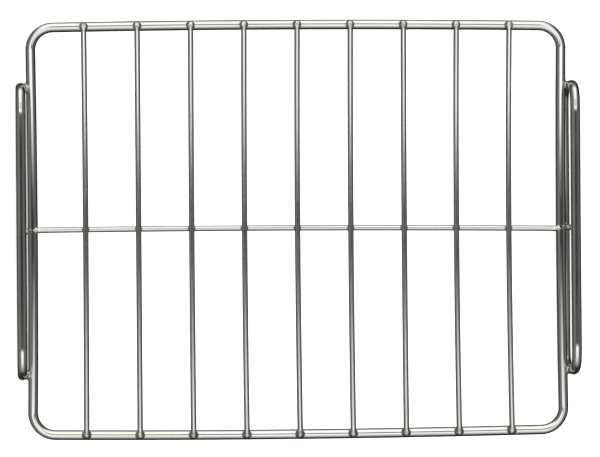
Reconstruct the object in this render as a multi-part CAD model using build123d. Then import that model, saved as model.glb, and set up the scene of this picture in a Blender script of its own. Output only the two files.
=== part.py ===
from build123d import *
import math
import os

# A rigid welded wire rack. A heavy rod bent into a rounded rectangle carries thin slats on its two
# long bars. One cross wire ties the slats from below. A closed upright ring of the same heavy rod is
# welded outside each side bar: its upper run is a handle and its lower run is a foot.
# +X runs along the long bars, +Y to the back, +Z up. The origin is under the middle, on the surface
# that the two feet stand on. Sizes are in millimetres.

# Stock
heavy_rod = 8.0
thin_wire = 4.5

# Frame loop, between rod centres
frame_width = 426.5
frame_depth = 324.4
frame_corner_radius = 18.0
long_bar_bow = 1.8
side_bar_bow = 1.2

# Slats
slat_count = 9
back_bead_inset = 1.0
front_pad_inset = 1.4

# Side rings, between rod centres
ring_length = 229.0
ring_height = 60.0
ring_bend_radius = 18.0
handle_above_frame = 21.0
ring_gap = 0.5

# Welds: how far a wire sinks into what it crosses, and how much each bead differs from its rod
wire_sink = 0.2
bead_below_wire = 0.4
back_bead_over_wire = 1.5
slat_into_back_bead = 0.8
front_pad_over_wire = 4.5
wire_bead_over_wire = 1.3
end_bead_over_wire = 2.5
ring_bead_over_rod = 7.0
ring_bead_under_rod = 1.6

# Bead sizes, levels and places that follow from the sizes above
back_bead_diameter = thin_wire + back_bead_over_wire
front_pad_width = thin_wire + front_pad_over_wire
front_pad_length = heavy_rod - front_pad_inset
wire_bead_diameter = thin_wire + wire_bead_over_wire
end_bead_diameter = thin_wire + end_bead_over_wire
ring_bead_length = heavy_rod + ring_bead_over_rod
ring_bead_diameter = heavy_rod - ring_bead_under_rod
half_width = frame_width / 2
half_depth = frame_depth / 2
frame_z = heavy_rod / 2 + ring_height - handle_above_frame
ring_middle_z = (heavy_rod + ring_height) / 2
slat_z = frame_z + (heavy_rod + thin_wire) / 2 - wire_sink
cross_wire_z = slat_z - thin_wire + wire_sink
crossing_z = (slat_z + cross_wire_z) / 2
ring_leg_y = ring_length / 2


def bow_at(distance, half_chord, bow):
    """Offset of a shallow arc from its chord, at a distance from the chord's middle."""
    radius = (half_chord**2 + bow**2) / (2 * bow)
    return math.sqrt(radius**2 - distance**2) - radius + bow


def bow_slope(distance, half_chord, bow):
    """Slope of the same arc at that distance."""
    radius = (half_chord**2 + bow**2) / (2 * bow)
    return -distance / math.sqrt(radius**2 - distance**2)


def long_bar_y(x):
    """Distance of a long bar's rod centre from the middle of the rack."""
    return half_depth + bow_at(x, half_width, long_bar_bow)


def side_bar_x(y):
    """Distance of a side bar's rod centre from the middle of the rack."""
    return half_width - bow_at(y, half_depth, side_bar_bow)


ring_x = side_bar_x(ring_leg_y) + heavy_rod + ring_gap
side_contact_x = side_bar_x(ring_leg_y) + (heavy_rod + ring_gap) / 2
slat_places = [-half_width + frame_width * (i + 1) / (slat_count + 1) for i in range(slat_count)]


def back_bead_y(x):
    """Centre of the round bead on a slat's back end."""
    return long_bar_y(x) + heavy_rod / 2 - back_bead_inset - back_bead_diameter / 2


def front_pad_y(x):
    """Centre of the pointed pad on a slat's front end."""
    return -long_bar_y(x) - heavy_rod / 2 + front_pad_inset + front_pad_length / 2


def rod_along(path, diameter):
    """A round rod whose centre line is the path."""
    section = Plane(origin=path @ 0, z_dir=path % 0) * Circle(diameter / 2)
    return sweep(section, path=path)


def stub(centre, direction, diameter):
    """Short straight stretch of rod. Near a joint a gently bowed rod is as good as straight."""
    return Plane(origin=centre, z_dir=direction) * Cylinder(diameter / 2, 4 * heavy_rod)


def long_bar_near(x, side):
    """The back (1) or front (-1) long bar, close to one place along it."""
    slope = side * bow_slope(x, half_width, long_bar_bow)
    return stub((x, side * long_bar_y(x), frame_z), (1, slope, 0), heavy_rod)


def side_bar_near(side, y):
    """The left (-1) or right (1) side bar, close to one place along it."""
    slope = -side * bow_slope(y, half_depth, side_bar_bow)
    return stub((side * side_bar_x(y), y, frame_z), (slope, 1, 0), heavy_rod)


def frame_loop():
    """Heavy rod bent to a rounded rectangle, with bulging long bars and drawn-in side bars."""
    back = ThreePointArc((-half_width, half_depth), (0, long_bar_y(0)), (half_width, half_depth))
    front = ThreePointArc((-half_width, -half_depth), (0, -long_bar_y(0)), (half_width, -half_depth))
    right = ThreePointArc((half_width, half_depth), (side_bar_x(0), 0), (half_width, -half_depth))
    left = ThreePointArc((-half_width, half_depth), (-side_bar_x(0), 0), (-half_width, -half_depth))
    outline = make_face([back, right, front, left])
    rounded = fillet(outline.vertices(), frame_corner_radius)
    return rod_along(Pos(0, 0, frame_z) * rounded.wire(), heavy_rod)


def side_ring(side):
    """Upright closed ring of heavy rod close outside one side bar."""
    plane = Plane(origin=(side * ring_x, 0, ring_middle_z), x_dir=(0, 1, 0), z_dir=(1, 0, 0))
    outline = plane * RectangleRounded(ring_length, ring_height, ring_bend_radius)
    return rod_along(outline.wire(), heavy_rod)


def slat(place):
    """Straight thin wire across the tops of both long bars, seated a little way into them."""
    front_y = front_pad_y(place)
    back_y = back_bead_y(place) + slat_into_back_bead
    wire = Cylinder(thin_wire / 2, back_y - front_y)
    seats = [long_bar_near(place, side) for side in (-1, 1)]
    return Pos(place, (front_y + back_y) / 2, slat_z) * Rot(90, 0, 0) * wire - seats


def cross_wire(slats):
    """Thin wire against the underside of the slats, cut to fit between the side bars."""
    wire = Pos(0, 0, cross_wire_z) * Rot(0, 90, 0) * Cylinder(thin_wire / 2, 2 * side_bar_x(0))
    return wire - [side_bar_near(side, 0) for side in (-1, 1)] - slats


def middle_post(side, ring):
    """Short upright wire between the middles of a ring's two runs, close beside the side bar."""
    return Pos(side * ring_x, 0, ring_middle_z) * Cylinder(thin_wire / 2, ring_height) - ring


def back_bead(place, wire):
    """Round bead that the back end of a slat melted into."""
    ball = Pos(place, back_bead_y(place), slat_z - bead_below_wire) * Sphere(back_bead_diameter / 2)
    return ball - long_bar_near(place, 1) - wire


def front_pad(place, wire):
    """Pointed pad that holds the front end of a slat on the long bar."""
    half_pad = front_pad_width / 2
    tip = front_pad_length / 2
    diamond = make_face(Polyline((half_pad, 0), (0, tip), (-half_pad, 0), (0, -tip), close=True))
    height = slat_z + thin_wire / 2 - bead_below_wire - frame_z
    pad = extrude(Pos(place, front_pad_y(place), frame_z) * diamond, amount=height, dir=(0, 0, 1))
    return pad - long_bar_near(place, -1) - wire


def crossing_bead(place, wire, cross):
    """Small bead round the crossing of a slat and the cross wire."""
    ball = Pos(place, 0, crossing_z) * Sphere(wire_bead_diameter / 2)
    return ball - cross - wire


def cross_wire_end_bead(side, cross):
    """Bead round the cross wire's end, against a side bar."""
    x = side_bar_x(0) - heavy_rod / 2
    ball = Pos(side * x, 0, cross_wire_z) * Sphere(end_bead_diameter / 2)
    return ball - cross - side_bar_near(side, 0)


def ring_bead(side, end, frame, ring):
    """Long bead in the groove between a ring's upright end and the side bar."""
    half_plane = Pos(ring_bead_length / 2, 0) * Rectangle(ring_bead_length, 2 * ring_bead_length)
    profile = Ellipse(ring_bead_diameter / 2, ring_bead_length / 2) & half_plane
    bead = Pos(side * side_contact_x, end * ring_leg_y, frame_z) * revolve(profile, Axis.Y)
    return bead - frame - ring


def post_beads(side, ring, post):
    """Beads on a middle post: one bridges to the side bar and one sits under or on each run."""
    bar_face_x = side_bar_x(0) + heavy_rod / 2
    post_face_x = ring_x - thin_wire / 2
    bridge = ((bar_face_x + post_face_x) / 2, frame_z)
    upper_run = (ring_x, ring_middle_z + (ring_height - heavy_rod) / 2)
    lower_run = (ring_x, ring_middle_z - (ring_height - heavy_rod) / 2)
    places = [bridge, upper_run, lower_run]
    beads = [Pos(side * x, 0, z) * Sphere(wire_bead_diameter / 2) for x, z in places]
    return [bead - side_bar_near(side, 0) - ring - post for bead in beads]


def save(name, *shapes):
    """Write one node's solids to its own file."""
    solids = [solid for shape in shapes for solid in shape.solids()]
    node = solids[0] if len(solids) == 1 else Compound(children=solids)
    node.label = name
    export_step(node, os.path.join("parts", name + ".step"))


def build():
    """Make every piece, cut each to fit its neighbours, and write the files."""
    os.makedirs("parts", exist_ok=True)
    sides = {-1: "left", 1: "right"}
    rings = {side: side_ring(side) for side in sides}
    posts = {side: middle_post(side, rings[side]) for side in sides}
    frame = frame_loop()
    slats = {place: slat(place) for place in slat_places}
    cross = cross_wire(list(slats.values()))

    save("frame_loop", frame)
    for number, place in enumerate(slat_places, start=1):
        save(f"slat_{number}", slats[place])
    save("cross_wire", cross)
    for side, word in sides.items():
        save(f"side_ring_{word}", rings[side])
        save(f"middle_post_{word}", posts[side])

    save("slat_back_beads", *[back_bead(place, wire) for place, wire in slats.items()])
    save("slat_front_pads", *[front_pad(place, wire) for place, wire in slats.items()])
    save("crossing_beads", *[crossing_bead(place, wire, cross) for place, wire in slats.items()])
    save("cross_wire_end_beads", *[cross_wire_end_bead(side, cross) for side in sides])
    ends = [(side, end) for side in sides for end in (-1, 1)]
    save("ring_beads", *[ring_bead(side, end, frame, rings[side]) for side, end in ends])
    beads = [post_beads(side, rings[side], posts[side]) for side in sides]
    save("post_beads", *[bead for group in beads for bead in group])


build()
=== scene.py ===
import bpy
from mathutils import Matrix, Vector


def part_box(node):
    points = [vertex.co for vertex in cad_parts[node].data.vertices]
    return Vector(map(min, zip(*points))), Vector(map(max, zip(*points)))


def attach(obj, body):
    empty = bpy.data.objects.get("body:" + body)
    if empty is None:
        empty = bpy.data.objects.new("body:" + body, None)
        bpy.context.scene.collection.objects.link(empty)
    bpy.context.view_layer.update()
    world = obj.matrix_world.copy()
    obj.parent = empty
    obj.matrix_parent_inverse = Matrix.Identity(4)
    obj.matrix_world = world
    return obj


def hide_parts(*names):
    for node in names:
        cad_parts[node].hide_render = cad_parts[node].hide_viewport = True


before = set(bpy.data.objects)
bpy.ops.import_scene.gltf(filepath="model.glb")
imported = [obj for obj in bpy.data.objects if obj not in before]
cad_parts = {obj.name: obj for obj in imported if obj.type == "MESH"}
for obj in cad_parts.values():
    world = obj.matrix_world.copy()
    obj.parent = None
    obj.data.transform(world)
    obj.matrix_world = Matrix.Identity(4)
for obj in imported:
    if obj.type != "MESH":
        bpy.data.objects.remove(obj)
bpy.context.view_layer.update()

import math

import bpy
import numpy as np
from mathutils import Matrix

# The viewpoint: straight above the left handle and almost three metres up, turned a few degrees so
# that the whole rack fills the view. The handle's upper run hides its lower run. Lengths are metres:
# view_width is what the view takes in across the rack, and the aim is the middle of the view.
frame_low, frame_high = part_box("frame_loop")
left_low, left_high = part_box("side_ring_left")
bar_z = (frame_low[2] + frame_high[2]) / 2
view_height = 2.826
view_width = 0.4802
view_shift = 0.08
view_turn = math.radians(-0.45)
aim_x = 0.0014
aim_y = 0.0010

camera_place = np.array([(left_low[0] + left_high[0]) / 2, 0.0, bar_z + view_height])
axis_point = np.array([aim_x - view_shift * view_width, aim_y, bar_z])
backwards = camera_place - axis_point
axis_length = np.linalg.norm(backwards)
backwards = backwards / axis_length
rightwards = np.cross([0.0, 1.0, 0.0], backwards)
rightwards = rightwards / np.linalg.norm(rightwards)
upwards = np.cross(backwards, rightwards)
camera_turn = Matrix(np.column_stack([rightwards, upwards, backwards]).tolist()).to_4x4()

camera_data = bpy.data.cameras.new("camera")
camera_data.sensor_width = 36.0
camera_data.lens = camera_data.sensor_width * axis_length / view_width
camera_data.shift_x = view_shift
camera_data.clip_start = 0.1
camera_data.clip_end = 60.0
camera = bpy.data.objects.new("camera", camera_data)
bpy.context.collection.objects.link(camera)
camera.matrix_world = Matrix.Translation(camera_place) @ camera_turn @ Matrix.Rotation(view_turn, 4, "Z")
bpy.context.scene.camera = camera
bpy.context.scene.view_settings.view_transform = "Standard"


# Studio light: long soft panels overhead, across the rack, with a narrow dark gap over its middle and
# the panels' short dark frame a little behind that. They fade out towards the left and right, and little
# light comes from below. Each level is a radiance, at degrees from straight up towards the back.
def add_node(tree, kind, inputs=None, **settings):
    """Adds a node, sets its properties, and sets or links its inputs."""
    node = tree.nodes.new(kind)
    for name, value in settings.items():
        setattr(node, name, value)
    for name, value in (inputs or {}).items():
        if isinstance(value, bpy.types.NodeSocket):
            tree.links.new(value, node.inputs[name])
        else:
            node.inputs[name].default_value = value
    return node


def fill_ramp(node, stops):
    """Gives a colour ramp grey stops, as (position, level) pairs. Levels above 1 are allowed."""
    elements = node.color_ramp.elements
    while len(elements) > 1:
        elements.remove(elements[-1])
    elements[0].position = stops[0][0]
    elements[0].color = (stops[0][1],) * 3 + (1.0,)
    for position, level in stops[1:]:
        elements.new(position).color = (level, level, level, 1.0)


panel_levels = {-180: 0.04, -100: 0.04, -88: 0.07, -75: 0.30, -60: 0.62, -45: 0.90, -30: 1.30, -10: 1.55,
                18: 1.70, 80: 1.70, 92: 1.00, 105: 0.32, 120: 0.12, 180: 0.05}
gap_reach = 6.0
gap_levels = {-6.0: 1.0, -3.5: 1.0, -2.9: 0.92, -2.5: 0.78, -2.07: 0.64, -1.62: 0.48, -1.17: 0.27,
              -0.7: 0.11, -0.3: 0.03, 0.4: 0.03, 0.65: 0.09, 1.1: 0.25, 1.55: 0.62, 2.0: 1.0, 2.6: 1.12,
              4.0: 1.12, 6.0: 1.0}
frame_levels = {0.0: 0.0, 4.2: 0.0, 4.8: 0.97, 20.0: 0.97, 22.0: 0.0, 90.0: 0.0}

world = bpy.data.worlds.new("soft_studio")
bpy.context.scene.world = world
world.use_nodes = True
sky = world.node_tree
sky.nodes.clear()
place = add_node(sky, "ShaderNodeTexCoord")
split = add_node(sky, "ShaderNodeSeparateXYZ", {0: place.outputs["Generated"]})
turn = add_node(sky, "ShaderNodeMath", {0: split.outputs["Y"], 1: split.outputs["Z"]}, operation="ARCTAN2")
degrees = add_node(sky, "ShaderNodeMath", {0: turn.outputs[0]}, operation="DEGREES")
part = add_node(sky, "ShaderNodeMapRange", {"Value": degrees.outputs[0], "From Min": -180.0,
                                            "From Max": 180.0})
panels = add_node(sky, "ShaderNodeValToRGB", {"Fac": part.outputs[0]})
fill_ramp(panels, [((angle + 180) / 360, level) for angle, level in panel_levels.items()])
near = add_node(sky, "ShaderNodeMapRange", {"Value": degrees.outputs[0], "From Min": -gap_reach,
                                            "From Max": gap_reach})
gap = add_node(sky, "ShaderNodeValToRGB", {"Fac": near.outputs[0]})
fill_ramp(gap, [(angle / gap_reach / 2 + 0.5, level) for angle, level in gap_levels.items()])
behind = add_node(sky, "ShaderNodeMapRange", {"Value": degrees.outputs[0], "From Max": 90.0})
dark_frame = add_node(sky, "ShaderNodeValToRGB", {"Fac": behind.outputs[0]})
fill_ramp(dark_frame, [(angle / 90, level) for angle, level in frame_levels.items()])
off_centre = add_node(sky, "ShaderNodeMath", {0: split.outputs["X"], 1: 0.08}, operation="SUBTRACT")
off_side = add_node(sky, "ShaderNodeMath", {0: off_centre.outputs[0]}, operation="ABSOLUTE")
short = add_node(sky, "ShaderNodeMapRange", {"Value": off_side.outputs[0], "From Min": 0.08, "From Max": 0.11,
                                             "To Min": 1.0, "To Max": 0.0})
hidden = add_node(sky, "ShaderNodeMath", {0: dark_frame.outputs[0], 1: short.outputs[0]}, operation="MULTIPLY")
open_part = add_node(sky, "ShaderNodeMath", {0: 1.0, 1: hidden.outputs[0]}, operation="SUBTRACT")
lit = add_node(sky, "ShaderNodeMath", {0: panels.outputs[0], 1: open_part.outputs[0]}, operation="MULTIPLY")
overhead = add_node(sky, "ShaderNodeMath", {0: lit.outputs[0], 1: gap.outputs[0]}, operation="MULTIPLY")
aside = add_node(sky, "ShaderNodeMath", {0: split.outputs["X"]}, operation="ABSOLUTE")
fade = add_node(sky, "ShaderNodeMapRange", {"Value": aside.outputs[0], "From Min": 0.22, "From Max": 0.74},
                interpolation_type="SMOOTHSTEP")
left = add_node(sky, "ShaderNodeMapRange", {"Value": split.outputs["Z"], "From Min": -0.25, "From Max": 0.15,
                                            "To Min": 0.09, "To Max": 0.26})
right = add_node(sky, "ShaderNodeMapRange", {"Value": split.outputs["Z"], "From Min": -0.25, "From Max": 0.15,
                                             "To Min": 0.02, "To Max": 0.19})
which = add_node(sky, "ShaderNodeMapRange", {"Value": split.outputs["X"], "From Min": -0.2, "From Max": 0.2})
sides = add_node(sky, "ShaderNodeMix", {0: which.outputs[0], 2: left.outputs[0], 3: right.outputs[0]})
level = add_node(sky, "ShaderNodeMix", {0: fade.outputs[0], 2: overhead.outputs[0], 3: sides.outputs[0]})
light = add_node(sky, "ShaderNodeBackground", {"Color": (1.0, 1.0, 0.985, 1.0), "Strength": level.outputs[0]})
pale = add_node(sky, "ShaderNodeBackground", {"Color": (1.0, 1.0, 1.0, 1.0), "Strength": 1.1})
ray = add_node(sky, "ShaderNodeLightPath")
both = add_node(sky, "ShaderNodeMixShader", {0: ray.outputs["Is Camera Ray"], 1: light.outputs[0],
                                            2: pale.outputs[0]})
add_node(sky, "ShaderNodeOutputWorld", {"Surface": both.outputs[0]})

key_data = bpy.data.lights.new("soft_key", "SUN")
key_data.energy = 3.2
key_data.angle = math.radians(80)
key = bpy.data.objects.new("soft_key", key_data)
key.visible_glossy = False
bpy.context.collection.objects.link(key)


# The floor: a very large plain white sheet of paper. It isn't part of the rack. Polished rods would
# mirror it, so it is kept out of reflections, and from underneath it isn't seen.
floor_reach = 40.0
floor_mesh = bpy.data.meshes.new("floor")
floor_mesh.from_pydata([(-floor_reach, -floor_reach, 0.0), (floor_reach, -floor_reach, 0.0),
                        (floor_reach, floor_reach, 0.0), (-floor_reach, floor_reach, 0.0)], [], [(0, 1, 2, 3)])
paper = bpy.data.materials.new("white_paper")
paper.use_nodes = True
sheet = paper.node_tree
sheet.nodes.clear()
white = add_node(sheet, "ShaderNodeBsdfDiffuse", {"Color": (0.90, 0.90, 0.895, 1.0)})
clear = add_node(sheet, "ShaderNodeBsdfTransparent")
face = add_node(sheet, "ShaderNodeNewGeometry")
seen = add_node(sheet, "ShaderNodeMixShader", {0: face.outputs["Backfacing"], 1: white.outputs[0],
                                              2: clear.outputs[0]})
add_node(sheet, "ShaderNodeOutputMaterial", {"Surface": seen.outputs[0]})
floor_mesh.materials.append(paper)
floor = bpy.data.objects.new("floor", floor_mesh)
floor.visible_glossy = False
bpy.context.collection.objects.link(floor)


# Frame loop: one heavy steel rod, 8 mm thick, bent into a rounded rectangle and welded end to end.
# The long bars bulge a little and the side bars are drawn in a little. It is polished and bright, with
# fine marks along its length from the drawing die.
def linear(hex_colour):
    """An sRGB hex colour as linear red, green, blue and alpha."""
    parts = np.array([int(hex_colour[i:i + 2], 16) for i in (1, 3, 5)]) / 255
    parts = np.where(parts <= 0.04045, parts / 12.92, ((parts + 0.055) / 1.055) ** 2.4)
    return tuple(float(part) for part in parts) + (1.0,)


def rod_skin(middle, heading, upright, radius, closed, grain):
    """Points and faces of a round rod. The point at place s and angle a is
    middle(s) + radius(s) * (cos a * (upright x heading(s)) + sin a * upright).
    A closed rod joins its last ring to its first. An open one ends in a point at each end, where the
    radius is zero. The third result is each point's place on the rod: across, up and along."""
    around = 40
    angle = np.arange(around) * 2 * np.pi / around
    upright = np.asarray(upright, float)
    beside = np.cross(upright, heading)
    radius = np.broadcast_to(radius, len(middle))
    ring = (np.cos(angle)[None, :, None] * beside[:, None, :]
            + np.sin(angle)[None, :, None] * upright[None, None, :])
    points = middle[:, None, :] + radius[:, None, None] * ring
    steps = np.linalg.norm(np.diff(middle, axis=0), axis=1)
    along = np.concatenate([[0.0], np.cumsum(steps)])
    if closed:
        along = np.abs(along - along[-1] / 2)
    stock = radius.max()
    spot = np.stack(np.broadcast_arrays(stock * np.cos(angle)[None, :] + grain,
                                        stock * np.sin(angle)[None, :], along[:, None]), axis=-1)
    rows = len(middle)
    last = rows if closed else rows - 1
    row = np.arange(last)[:, None]
    column = np.arange(around)[None, :]
    after = (row + 1) % rows
    beyond = (column + 1) % around
    faces = np.stack([row * around + column, after * around + column,
                      after * around + beyond, row * around + beyond], axis=-1).reshape(-1, 4)
    return points.reshape(-1, 3), faces, spot.reshape(-1, 3)


def add_piece(name, skins, material, nodes):
    """One piece made of closed skins, each as (points, faces, places). Doubled points are merged, so
    the four-sided faces round a tip become triangles."""
    sizes = np.array([len(skin[0]) for skin in skins])
    starts = np.concatenate([[0], np.cumsum(sizes)[:-1]])
    points = np.concatenate([skin[0] for skin in skins])
    faces = np.concatenate([skin[1] + start for skin, start in zip(skins, starts)])
    spots = np.concatenate([skin[2] for skin in skins])
    grid = np.round(points / 1e-7).astype(np.int64)
    _, first, where = np.unique(grid, axis=0, return_index=True, return_inverse=True)
    faces = where.reshape(-1)[faces]
    near_tip = faces[:, 0] == faces[:, 3]
    far_tip = faces[:, 1] == faces[:, 2]
    quads = faces[~near_tip & ~far_tip]
    near_fan = faces[near_tip & ~far_tip][:, [0, 1, 2]]
    far_fan = faces[far_tip & ~near_tip][:, [0, 1, 3]]
    mesh = bpy.data.meshes.new(name)
    mesh.from_pydata(points[first].tolist(), [], quads.tolist() + near_fan.tolist() + far_fan.tolist())
    place = mesh.attributes.new("rod_place", "FLOAT_VECTOR", "POINT")
    place.data.foreach_set("vector", spots[first].astype(np.float32).reshape(-1))
    mesh.shade_smooth()
    mesh.materials.append(material)
    piece = bpy.data.objects.new(name, mesh)
    bpy.context.collection.objects.link(piece)
    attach(piece, "root")
    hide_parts(*nodes)
    return piece


def drawn_steel(name, colour, marks, rough, smear):
    """Drawn, polished stainless steel: a smooth mirror with fine marks along the rod. The marks are
    noise that is fine round the rod and long along it, from each point's place on the rod."""
    material = bpy.data.materials.new(name)
    material.use_nodes = True
    tree = material.node_tree
    tree.nodes.clear()
    spot = add_node(tree, "ShaderNodeAttribute", attribute_name="rod_place")
    drawn = add_node(tree, "ShaderNodeMapping", {"Vector": spot.outputs["Vector"],
                                                 "Scale": (1 / marks, 1 / marks, 0.008 / marks)})
    lines = add_node(tree, "ShaderNodeTexNoise", {"Vector": drawn.outputs[0], "Scale": 1.0, "Detail": 3.0,
                                                  "Roughness": 0.6})
    hand = add_node(tree, "ShaderNodeTexNoise", {"Vector": spot.outputs["Vector"], "Scale": 45.0,
                                                 "Detail": 4.0})
    tone = add_node(tree, "ShaderNodeValToRGB", {"Fac": lines.outputs["Fac"]})
    tone.color_ramp.elements[0].position = 0.36
    tone.color_ramp.elements[0].color = linear(colour[0])
    tone.color_ramp.elements[1].position = 0.62
    tone.color_ramp.elements[1].color = linear(colour[1])
    gloss = add_node(tree, "ShaderNodeMapRange", {"Value": hand.outputs["Fac"], "From Min": 0.3,
                                                  "From Max": 0.7, "To Min": rough, "To Max": rough + smear})
    bump = add_node(tree, "ShaderNodeBump", {"Height": lines.outputs["Fac"], "Strength": 0.15,
                                             "Distance": 0.00001})
    shader = add_node(tree, "ShaderNodeBsdfPrincipled", {"Base Color": tone.outputs[0], "Metallic": 1.0,
                                                         "Roughness": gloss.outputs[0],
                                                         "Normal": bump.outputs[0]})
    add_node(tree, "ShaderNodeOutputMaterial", {"Surface": shader.outputs[0]})
    return material


mm = 0.001
bar_radius = (frame_high[2] - frame_low[2]) / 2
long_bow = 1.8 * mm
side_bow = 1.2 * mm
corner_radius = 18.0 * mm
half_depth = frame_high[1] - bar_radius - long_bow
# The frame is widest where its corners start, and there the side bars' bow is nearly spent.
half_width = frame_high[0] - bar_radius + side_bow * (1 - (1 - corner_radius / half_depth) ** 2)


def bow_radius(half_chord, bow):
    """Radius of the arc that stands off by bow over a chord: (c^2 + b^2) / 2b."""
    return (half_chord**2 + bow**2) / (2 * bow)


def arc(centre, radius, start, end, count):
    """Points and outward directions along an arc from angle start to angle end, without its last point."""
    angle = np.linspace(start, end, count, endpoint=False)
    out = np.stack([np.cos(angle), np.sin(angle)], axis=-1)
    return np.asarray(centre) + radius * out, out


long_radius = bow_radius(half_width, long_bow)
side_radius = bow_radius(half_depth, side_bow)
long_centre = half_depth + long_bow - long_radius
side_centre = half_width - side_bow + side_radius
# Each corner's centre is corner_radius inside the long bar's arc and as far from the side bar's arc,
# so it is where two circles cross.
gap_between = math.hypot(side_centre, long_centre)
reach_a = long_radius - corner_radius
reach_b = side_radius + corner_radius
foot = (reach_a**2 - reach_b**2 + gap_between**2) / (2 * gap_between)
rise = math.sqrt(reach_a**2 - foot**2)
towards = np.array([side_centre, -long_centre]) / gap_between
corner = np.array([0.0, long_centre]) + foot * towards + rise * np.array([-towards[1], towards[0]])
long_end = math.atan2(corner[1] - long_centre, corner[0])
side_end = math.atan2(corner[1], side_centre - corner[0])
half_turn = math.pi
runs = [arc((side_centre, 0.0), -side_radius, side_end, -side_end, 60),
        arc(corner, corner_radius, -side_end, long_end, 24),
        arc((0.0, long_centre), long_radius, long_end, half_turn - long_end, 90),
        arc((-corner[0], corner[1]), corner_radius, half_turn - long_end, half_turn + side_end, 24),
        arc((-side_centre, 0.0), side_radius, side_end, -side_end, 60),
        arc((-corner[0], -corner[1]), corner_radius, half_turn - side_end, half_turn + long_end, 24),
        arc((0.0, -long_centre), long_radius, half_turn + long_end, 2 * half_turn - long_end, 90),
        arc((corner[0], -corner[1]), corner_radius, -long_end, side_end, 24)]
loop = np.concatenate([run[0] for run in runs])
loop_middle = np.column_stack([loop, np.full(len(loop), bar_z)])
loop_heading = np.roll(loop_middle, -1, axis=0) - np.roll(loop_middle, 1, axis=0)
loop_heading = loop_heading / np.linalg.norm(loop_heading, axis=1)[:, None]
# Marks from the die are about 0.3 mm apart round the rod. They are drawn at 0.9 mm, so that they show.
bar_steel = drawn_steel("polished_stainless_rod", ("#BFBFBC", "#D2D2CF"), 0.9 * mm, 0.025, 0.03)
add_piece("frame_rod", [rod_skin(loop_middle, loop_heading, (0, 0, 1), bar_radius, True, 0.0)],
          bar_steel, ["frame_loop"])


# Slats: nine thin steel wires that lie across both long bars, cut to length and welded at each end.
# They were straight, and welding left each with its own slight sideways bend at the middle.
def open_rod(start, end, bend, radius, edge, grain, upright):
    """A rod between two points, with its ends rounded over by edge. bend(t) is how far its middle is
    moved at the fraction t, as whole arrays."""
    start, end = np.asarray(start, float), np.asarray(end, float)
    length = np.linalg.norm(end - start)
    turn = np.linspace(0, np.pi / 2, 5)
    lip = edge * (1 - np.cos(turn))
    straight = np.linspace(edge, length - edge, 62)[1:-1]
    along = np.concatenate([[0.0], lip, straight, length - lip[::-1], [length]])
    brim = radius - edge + edge * np.sin(turn)
    size = np.concatenate([[0.0], brim, np.full(len(straight), radius), brim[::-1], [0.0]])
    fraction = along / length
    middle = start + fraction[:, None] * (end - start) + bend(fraction)
    fine = np.linspace(0, 1, 401)
    lean = np.gradient(bend(fine), fine[1], axis=0)
    lean = np.stack([np.interp(fraction, fine, lean[:, axis]) for axis in range(3)], axis=-1)
    heading = lean + (end - start)
    heading = heading / np.linalg.norm(heading, axis=1)[:, None]
    return rod_skin(middle, heading, upright, size, False, grain)


wire_steel = drawn_steel("bright_drawn_wire", ("#BCBCB9", "#CFCFCC"), 0.7 * mm, 0.05, 0.03)
slat_bends = [0.5, 0.0, -0.3, -0.7, -0.9, -0.8, -0.5, -1.1, -1.5]
slat_ends, slat_middles = [], []
for number, bend_mm in enumerate(slat_bends, start=1):
    low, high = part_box(f"slat_{number}")
    wire_radius = (high[2] - low[2]) / 2
    slat_z = (high[2] + low[2]) / 2
    x = (high[0] + low[0]) / 2
    slat_ends.append(x)
    slat_middles.append(x + bend_mm * mm)
    skin = open_rod((x, low[1], slat_z), (x, high[1], slat_z),
                    lambda t: np.outer(4 * t * (1 - t), [bend_mm * mm, 0.0, 0.0]),
                    wire_radius, 0.5 * mm, 0.01 * number, (0, 0, 1))
    add_piece(f"slat_wire_{number}", [skin], wire_steel, [f"slat_{number}"])


# Cross wire: a wire of the slats' stock under their middles, welded to each slat and to both side bars.
# It keeps them from spreading. The welds left it a millimetre out of straight and slightly askew.
cross_low, cross_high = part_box("cross_wire")
cross_z = (cross_low[2] + cross_high[2]) / 2
cross_rise = 1.2 * mm
cross_lean = 1.7 * mm


def cross_bend(t):
    """How far back the cross wire stands at the fraction t: rise * 4t(1 - t) + lean * (1/2 - t)."""
    back = cross_rise * 4 * t * (1 - t) + cross_lean * (0.5 - t)
    return np.outer(back, [0.0, 1.0, 0.0])


skin = open_rod((cross_low[0], 0, cross_z), (cross_high[0], 0, cross_z), cross_bend, wire_radius,
                0.4 * mm, 0.2, (0, 0, 1))
add_piece("tie_wire", [skin], wire_steel, ["cross_wire"])


# Side rings: heavy rod bent into a long upright ring and welded outside each side bar. The upper run
# is the handle and the lower run is the foot. Bending drew both runs in by half a millimetre at their
# middles, so the light gap overhead fills the handle's whole top.
ring_draw = 0.55 * mm
bend_reach = 24.0 * mm


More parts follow.
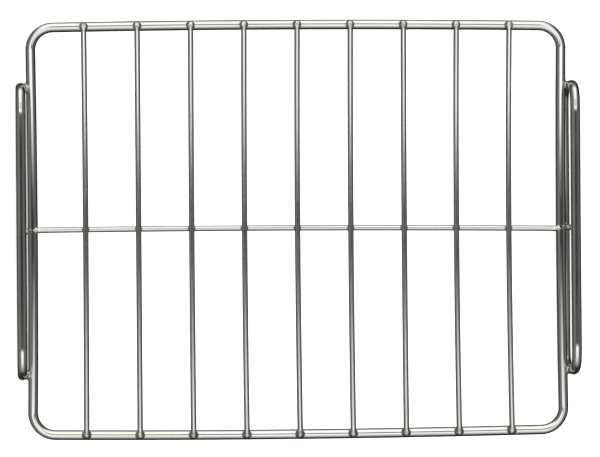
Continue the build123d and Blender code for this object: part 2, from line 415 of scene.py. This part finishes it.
def ring_path(low, high, radius):
    """Middle line and headings of a rounded rectangle in a plane across X. Its two runs are drawn in by
    ring_draw * (1 - (y / h)^2), where h is half of a run. Its bends start and end gently: at the share t
    of a bend it has turned by t - sin(2 pi t) / (2 pi) of the whole."""
    half_y = (high[1] - low[1]) / 2 - radius
    centre_z = (high[2] + low[2]) / 2
    flat = half_y - bend_reach
    slope = 2 * ring_draw / flat
    share = np.linspace(0, 1, 61)
    turned = (np.pi / 2 + slope) * (share - np.sin(2 * np.pi * share) / (2 * np.pi)) - slope
    steps = np.stack([np.cos(turned), np.sin(turned)], axis=-1)
    steps = np.concatenate([np.zeros((1, 2)), np.cumsum((steps[1:] + steps[:-1]) / 2, axis=0)])
    steps = steps * bend_reach / steps[-1]
    crest = (high[2] - low[2]) / 2 - radius + steps[:, 1].min()
    bend_y, bend_z = flat + steps[:, 0], crest - steps[:, 1]
    y_run = np.linspace(flat, -flat, 120, endpoint=False)
    z_run = crest - ring_draw * (1 - (y_run / flat) ** 2)
    leg = np.linspace(bend_z[-1], -bend_z[-1], 12, endpoint=False)
    side = np.full(12, half_y)
    y = np.concatenate([y_run, -bend_y[:-1], -side, -bend_y[:0:-1], -y_run, bend_y[:-1], side, bend_y[:0:-1]])
    z = np.concatenate([z_run, bend_z[:-1], leg, -bend_z[:0:-1], -z_run, -bend_z[:-1], -leg, bend_z[:0:-1]])
    middle = np.column_stack([np.full(len(y), (low[0] + high[0]) / 2), y, centre_z + z])
    heading = np.roll(middle, -1, axis=0) - np.roll(middle, 1, axis=0)
    return middle, heading / np.linalg.norm(heading, axis=1)[:, None]


ring_x = {}
for side, word in ((-1, "left"), (1, "right")):
    low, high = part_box(f"side_ring_{word}")
    outer = high[0] if side > 0 else low[0]
    ring_x[side] = outer - side * bar_radius
    low, high = list(low), list(high)
    low[0], high[0] = ring_x[side] - bar_radius, ring_x[side] + bar_radius
    middle, heading = ring_path(low, high, bar_radius)
    add_piece(f"handle_ring_{word}", [rod_skin(middle, heading, (-1, 0, 0), bar_radius, True, 0.4 + side)],
              bar_steel, [f"side_ring_{word}"])
    ring_low, ring_high = low, high


# Middle posts: a short upright wire inside each side ring, at its middle. It keeps the runs apart and
# is welded to both runs and to the side bar.
post_tuck = 0.4 * mm
for side, word in ((-1, "left"), (1, "right")):
    low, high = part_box(f"middle_post_{word}")
    x = (low[0] + high[0]) / 2
    skin = open_rod((x, 0, low[2] + ring_draw - post_tuck), (x, 0, high[2] - ring_draw + post_tuck),
                    lambda t: np.zeros((len(t), 3)), wire_radius, 0.3 * mm, 0.7, (0, 1, 0))
    add_piece(f"post_wire_{word}", [skin], wire_steel, [f"middle_post_{word}"])


# Weld metal: steel that melted where rods meet and froze as smooth beads and webs. The slats' back
# ends melted into round beads. It is a little duller and warmer than the rods, with faint ripples.
def cylinder(point, direction, radius):
    """Distance to a long round rod: how far from its middle line, less its radius."""
    point, direction = np.asarray(point, float), np.asarray(direction, float)
    direction = direction / np.linalg.norm(direction)

    def distance(p):
        arm = p - point
        arm = arm - (arm @ direction)[..., None] * direction
        return np.linalg.norm(arm, axis=-1) - radius
    return distance


def capsule(start, end, radius):
    """Distance to a rod with round ends between two points."""
    start, end = np.asarray(start, float), np.asarray(end, float)
    span = end - start

    def distance(p):
        share = np.clip(((p - start) @ span) / (span @ span), 0, 1)
        return np.linalg.norm(p - start - share[..., None] * span, axis=-1) - radius
    return distance


def button(centre, across, tall, square):
    """Rough distance to a round button with a flattened top: ((flat distance / across)^square +
    (height / tall)^square)^(1 / square) - 1, times its smaller half size."""
    centre = np.asarray(centre, float)

    def distance(p):
        arm = p - centre
        flat = np.hypot(arm[..., 0], arm[..., 1]) / across
        return ((flat**square + np.abs(arm[..., 2] / tall) ** square) ** (1 / square) - 1) * min(across, tall)
    return distance


def melted(centre, shapes, blend, reach, swell, grain=0.0):
    """Weld metal round a point. Along each direction the surface is where the smooth minimum of the
    shapes' distances is zero, found by halving on whole arrays, and no farther than reach. It stands
    proud of the rods by swell at the centre and sinks as much below them at the reach."""
    rows, around = 44, 64
    polar = np.linspace(0, np.pi, rows)
    angle = np.arange(around) * 2 * np.pi / around
    out = np.stack(np.broadcast_arrays(np.sin(polar)[:, None] * np.cos(angle)[None, :],
                                       np.sin(polar)[:, None] * np.sin(angle)[None, :],
                                       np.cos(polar)[:, None]), axis=-1)
    near, far = np.zeros(out.shape[:2]), np.full(out.shape[:2], reach)
    for _ in range(26):
        half = (near + far) / 2
        p = np.asarray(centre) + half[..., None] * out
        field = shapes[0](p)
        for shape in shapes[1:]:
            other = shape(p)
            meet = np.maximum(blend - np.abs(field - other), 0) / blend
            field = np.minimum(field, other) - meet**2 * blend / 4
        field = field + swell * (2 * (half / reach) ** 2 - 1)
        near, far = np.where(field < 0, half, near), np.where(field < 0, far, half)
    points = np.asarray(centre) + near[..., None] * out
    row = np.arange(rows - 1)[:, None]
    column = np.arange(around)[None, :]
    beyond = (column + 1) % around
    faces = np.stack([row * around + column, (row + 1) * around + column,
                      (row + 1) * around + beyond, row * around + beyond], axis=-1).reshape(-1, 4)
    points[0], points[-1] = points[0, 0], points[-1, 0]
    spots = points + grain
    return points.reshape(-1, 3), faces, spots.reshape(-1, 3)


weld_steel = bpy.data.materials.new("polished_weld_metal")
weld_steel.use_nodes = True
tree = weld_steel.node_tree
tree.nodes.clear()
spot = add_node(tree, "ShaderNodeAttribute", attribute_name="rod_place")
# Ripples about 1 mm apart, and heat stains about 3 mm across.
ripple = add_node(tree, "ShaderNodeTexNoise", {"Vector": spot.outputs["Vector"], "Scale": 1000.0,
                                               "Detail": 2.0})
stain = add_node(tree, "ShaderNodeTexNoise", {"Vector": spot.outputs["Vector"], "Scale": 330.0,
                                              "Detail": 3.0})
tone = add_node(tree, "ShaderNodeValToRGB", {"Fac": stain.outputs["Fac"]})
tone.color_ramp.elements[0].position = 0.38
tone.color_ramp.elements[0].color = linear("#A39F99")
tone.color_ramp.elements[1].position = 0.60
tone.color_ramp.elements[1].color = linear("#CDCCC8")
gloss = add_node(tree, "ShaderNodeMapRange", {"Value": ripple.outputs["Fac"], "From Min": 0.3, "From Max": 0.7,
                                              "To Min": 0.14, "To Max": 0.24})
bump = add_node(tree, "ShaderNodeBump", {"Height": ripple.outputs["Fac"], "Strength": 0.4,
                                         "Distance": 0.00012})
shader = add_node(tree, "ShaderNodeBsdfPrincipled", {"Base Color": tone.outputs[0], "Metallic": 1.0,
                                                     "Roughness": gloss.outputs[0], "Normal": bump.outputs[0]})
add_node(tree, "ShaderNodeOutputMaterial", {"Surface": shader.outputs[0]})


def long_bar_y(x):
    """The long bar's middle line at x, on its arc."""
    return long_centre + math.sqrt(long_radius**2 - x**2)


def side_bar_x(y):
    """The side bar's middle line at y, on its arc."""
    return side_centre - math.sqrt(side_radius**2 - y**2)


# A bead or pad sits a little lower than its slat, and is blended into the slat and the bar below it.
back_skins, pad_skins, crossing_skins = [], [], []
back_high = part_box("slat_back_beads")[1][1]
bead_radius = 3.05 * mm
bead_half_height = 2.75 * mm
pad_radius = 3.2 * mm
pad_half_height = 2.5 * mm
pad_inset = 0.5 * mm
slat_length_near = 20 * mm
for number, (x, middle_x) in enumerate(zip(slat_ends, slat_middles)):
    bar = cylinder((x, long_bar_y(x), bar_z), (1, 0, 0), bar_radius)
    bead_y = long_bar_y(x) - long_bar_y(0) + back_high - bead_radius
    wire = capsule((x, bead_y - slat_length_near, slat_z), (x, bead_y, slat_z), wire_radius)
    bead = button((x, bead_y, slat_z - 0.4 * mm), bead_radius, bead_half_height, 3.2)
    back_skins.append(melted((x, bead_y, slat_z - 0.8 * mm), [bead, wire, bar], 0.7 * mm, 5.2 * mm, 0.05 * mm,
                             0.01 * number))
    bar = cylinder((x, -long_bar_y(x), bar_z), (1, 0, 0), bar_radius)
    pad_y = -long_bar_y(x) + pad_inset
    wire = capsule((x, pad_y, slat_z), (x, pad_y + slat_length_near, slat_z), wire_radius)
    pad = button((x, pad_y, slat_z - 0.6 * mm), pad_radius, pad_half_height, 2.6)
    pad_skins.append(melted((x, pad_y, slat_z - 0.9 * mm), [pad, wire, bar], 1.0 * mm, 5.4 * mm, 0.05 * mm,
                            0.01 * number + 0.2))
    cross_y = cross_bend((middle_x - cross_low[0]) / (cross_high[0] - cross_low[0]))[0, 1]
    over = cylinder((middle_x, 0, slat_z), (0, 1, 0), wire_radius)
    under = cylinder((middle_x, cross_y, cross_z), (1, 0, 0), wire_radius)
    crossing_skins.append(melted((middle_x, cross_y, (slat_z + cross_z) / 2), [over, under], 1.8 * mm,
                                 4.0 * mm, 0.05 * mm, 0.01 * number + 0.4))
add_piece("slat_back_welds", back_skins, weld_steel, ["slat_back_beads"])
add_piece("slat_front_welds", pad_skins, weld_steel, ["slat_front_pads"])
add_piece("crossing_welds", crossing_skins, weld_steel, ["crossing_beads"])

# The rings' ends are joined to the side bars by the widest webs, which the weld metal filled.
end_skins, ring_skins, post_skins = [], [], []
ring_web = 3.6 * mm
leg_y = ring_high[1] - bar_radius
ring_top = ring_high[2] - bar_radius - ring_draw
ring_bottom = ring_low[2] + bar_radius + ring_draw
for side in (-1, 1):
    bar = cylinder((side * side_bar_x(0), 0, bar_z), (0, 1, 0), bar_radius)
    end_y = -side * cross_lean / 2
    wire = cylinder((0, end_y, cross_z), (1, 0, 0), wire_radius)
    inner = side * (side_bar_x(0) - bar_radius)
    end_skins.append(melted((inner, end_y, cross_z), [bar, wire], 0.9 * mm, 3.6 * mm, 0.03 * mm, 0.6))
    for end in (-1, 1):
        near_bar = cylinder((side * side_bar_x(leg_y), end * leg_y, bar_z), (0, 1, 0), bar_radius)
        leg = cylinder((ring_x[side], end * leg_y, bar_z), (0, 0, 1), bar_radius)
        touch = (side * side_bar_x(leg_y) + ring_x[side]) / 2
        ring_skins.append(melted((touch, end * leg_y, bar_z), [near_bar, leg], ring_web, 7.5 * mm, 0.06 * mm,
                                 0.7))
    post = cylinder((ring_x[side], 0, bar_z), (0, 0, 1), wire_radius)
    nub_x = side * (side_bar_x(0) + bar_radius + ring_x[side] * side - wire_radius) / 2
    nub = button((nub_x, 0, bar_z), 2.1 * mm, 1.9 * mm, 2.0)
    post_skins.append(melted((nub_x, 0, bar_z), [nub, bar, post], 1.6 * mm, 3.6 * mm, 0.05 * mm, 0.8))
    for z, away in ((ring_top, -1), (ring_bottom, 1)):
        run = cylinder((ring_x[side], 0, z), (0, 1, 0), bar_radius)
        seat = z + away * bar_radius
        post_skins.append(melted((ring_x[side], 0, seat), [run, post], 2.2 * mm, 4.2 * mm, 0.05 * mm, 0.9))
add_piece("tie_wire_end_welds", end_skins, weld_steel, ["cross_wire_end_beads"])
add_piece("ring_welds", ring_skins, weld_steel, ["ring_beads"])
add_piece("post_welds", post_skins, weld_steel, ["post_beads"])
